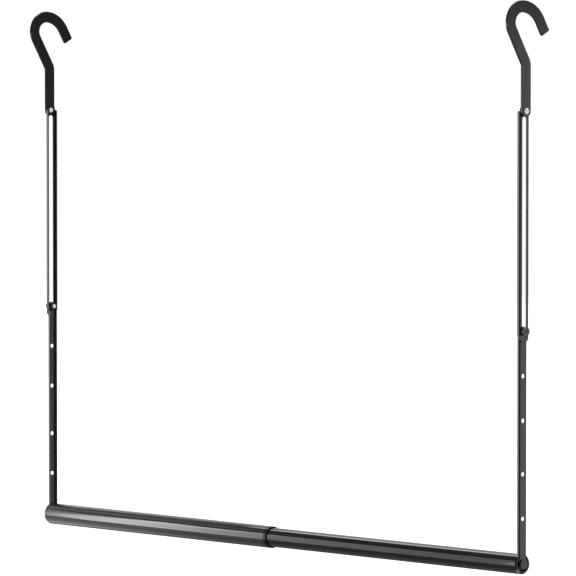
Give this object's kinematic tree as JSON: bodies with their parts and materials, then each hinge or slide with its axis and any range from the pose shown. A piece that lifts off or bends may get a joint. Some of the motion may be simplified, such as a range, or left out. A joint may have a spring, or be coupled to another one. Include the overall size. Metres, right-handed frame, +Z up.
{
  "type": "hanging adjustable closet rod",
  "caption": "Second closet rail that hangs below a fixed closet rod on flat hooks, with slotted uprights of adjustable height and a telescoping tubular rail.",
  "frame": {"origin": "on the axis of the fixed closet rod that the hooks seat on, half-way between the two hooks", "axes": "+X along the rail towards the small tube, +Y towards the hooks' open mouths, +Z up"},
  "size_m": [0.9638, 0.0728, 0.7192],
  "materials": {
    "hook_paint": "fine satin black powder coat",
    "channel_paint": "satin black powder coat",
    "bar_paint": "satin black powder coat",
    "outer_tube_paint": "semi-gloss black paint",
    "inner_tube_paint": "gloss black paint",
    "screw_black": "black head, bright thread",
    "nut_black": "black oxide",
    "rivet_steel": "bright zinc",
    "insert_steel": "zinc",
    "plug_plastic": "moulded, semi-matt",
    "collar_plastic": "moulded, semi-matt",
    "glide_plastic": "moulded, matt"
  },
  "bodies": {
    "left_hanger": {"left_hook": "hook_paint"},
    "left_upright": {"left_hook_rivet": "rivet_steel", "left_upper_channel": "channel_paint"},
    "outer_rail": {"left_lower_bar": "bar_paint", "left_height_nut": "nut_black", "left_end_plug": "plug_plastic", "left_end_insert": "insert_steel", "left_rail_screw": "screw_black", "outer_tube": "outer_tube_paint", "tube_collar": "collar_plastic"},
    "left_clamp_screw": {"left_height_screw": "screw_black"},
    "inner_rail": {"inner_tube": "inner_tube_paint", "inner_tube_glide": "glide_plastic", "right_end_plug": "plug_plastic", "right_end_insert": "insert_steel", "right_rail_screw": "screw_black", "right_lower_bar": "bar_paint", "right_height_nut": "nut_black"},
    "right_clamp_screw": {"right_height_screw": "screw_black"},
    "right_upright": {"right_upper_channel": "channel_paint", "right_hook_rivet": "rivet_steel"},
    "right_hanger": {"right_hook": "hook_paint"}
  },
  "joints": [
    {"name": "left_swing", "type": "hinge", "parent": "left_hanger", "child": "left_upright", "pos_m": [-0.4784, 0.0061, -0.11], "axis": [1, 0, 0], "range_deg": [-90, 90]},
    {"name": "height", "type": "slide", "parent": "left_upright", "child": "outer_rail", "axis": [0, 0, 1], "range_m": [0, 0.26]},
    {"name": "width", "type": "slide", "parent": "outer_rail", "child": "inner_rail", "axis": [1, 0, 0], "range_m": [-0.375, 0.035]},
    {"name": "right_height", "type": "slide", "parent": "inner_rail", "child": "right_upright", "axis": [0, 0, 1], "range_m": [-0.26, 0]},
    {"name": "right_swing", "type": "hinge", "parent": "right_upright", "child": "right_hanger", "pos_m": [0.4784, 0.0061, -0.11], "axis": [1, 0, 0], "range_deg": [-90, 90]},
    {"name": "left_screw_turn", "type": "hinge", "parent": "outer_rail", "child": "left_clamp_screw", "pos_m": [-0.4767, 0.0061, -0.385], "axis": [1, 0, 0], "continuous": true},
    {"name": "right_screw_turn", "type": "hinge", "parent": "inner_rail", "child": "right_clamp_screw", "pos_m": [0.4767, 0.0061, -0.385], "axis": [1, 0, 0], "continuous": true}
  ],
  "couplings": [
    {"joint": "right_height", "follows": "height", "ratio": -1},
    {"joint": "right_swing", "follows": "left_swing", "ratio": -1}
  ]
}
